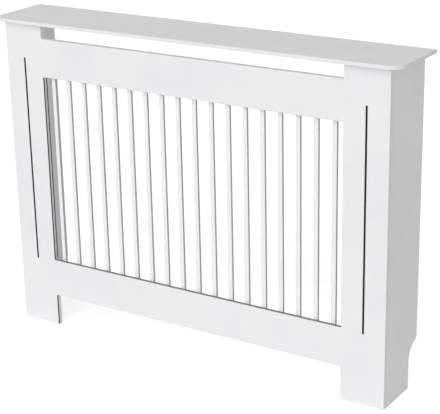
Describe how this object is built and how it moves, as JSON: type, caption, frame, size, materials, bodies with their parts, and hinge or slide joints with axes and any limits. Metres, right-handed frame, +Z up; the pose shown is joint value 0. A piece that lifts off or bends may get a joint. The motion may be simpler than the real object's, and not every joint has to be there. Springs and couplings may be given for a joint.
{
  "type": "radiator cover cabinet",
  "caption": "White painted board cover for a wall radiator, with an upright slat grille, a heat slot under a thin round-cornered shelf, grooved stiles and skirting cut-outs.",
  "frame": {"origin": "on the floor, under the middle of the shelf in plan", "axes": "+Z up, +X along the shelf to the right as seen from the front, +Y towards the wall, so the grille faces -Y"},
  "size_m": [1.12, 0.19, 0.815],
  "materials": {
    "painted_mdf": "sprayed white satin paint on medium density fibreboard",
    "zinc_plated_steel": "bright zinc plate",
    "beech": "bare turned beech"
  },
  "bodies": {
    "root": {"top_shelf": "painted_mdf", "left_side_panel": "painted_mdf", "right_side_panel": "painted_mdf", "left_stile": "painted_mdf", "right_stile": "painted_mdf", "top_rail": "painted_mdf", "bottom_rail": "painted_mdf", "slat_01": "painted_mdf", "slat_02": "painted_mdf", "slat_03": "painted_mdf", "slat_04": "painted_mdf", "slat_05": "painted_mdf", "slat_06": "painted_mdf", "slat_07": "painted_mdf", "slat_08": "painted_mdf", "slat_09": "painted_mdf", "slat_10": "painted_mdf", "slat_11": "painted_mdf", "slat_12": "painted_mdf", "slat_13": "painted_mdf", "slat_14": "painted_mdf", "slat_15": "painted_mdf", "slat_16": "painted_mdf", "slat_17": "painted_mdf", "slat_18": "painted_mdf", "dowel_top_rail_left_outer": "beech", "dowel_top_rail_left_inner": "beech", "dowel_bottom_rail_left_outer": "beech", "dowel_bottom_rail_left_inner": "beech", "dowel_top_rail_right_outer": "beech", "dowel_top_rail_right_inner": "beech", "dowel_bottom_rail_right_outer": "beech", "dowel_bottom_rail_right_inner": "beech", "corner_plate_left": "zinc_plated_steel", "corner_plate_left_screw_stile": "zinc_plated_steel", "corner_plate_left_screw_side_panel": "zinc_plated_steel", "corner_plate_left_screw_top_shelf": "zinc_plated_steel", "corner_plate_right": "zinc_plated_steel", "corner_plate_right_screw_stile": "zinc_plated_steel", "corner_plate_right_screw_side_panel": "zinc_plated_steel", "corner_plate_right_screw_top_shelf": "zinc_plated_steel", "front_bracket_left": "zinc_plated_steel", "front_bracket_left_screw_stile": "zinc_plated_steel", "front_bracket_left_screw_side_panel": "zinc_plated_steel", "front_bracket_right": "zinc_plated_steel", "front_bracket_right_screw_stile": "zinc_plated_steel", "front_bracket_right_screw_side_panel": "zinc_plated_steel", "shelf_bracket_left": "zinc_plated_steel", "shelf_bracket_left_screw_top_shelf": "zinc_plated_steel", "shelf_bracket_left_screw_side_panel": "zinc_plated_steel", "shelf_bracket_right": "zinc_plated_steel", "shelf_bracket_right_screw_top_shelf": "zinc_plated_steel", "shelf_bracket_right_screw_side_panel": "zinc_plated_steel", "wall_bracket_left": "zinc_plated_steel", "wall_bracket_left_screw_side_panel": "zinc_plated_steel", "wall_bracket_right": "zinc_plated_steel", "wall_bracket_right_screw_side_panel": "zinc_plated_steel"}
  },
  "joints": []
}
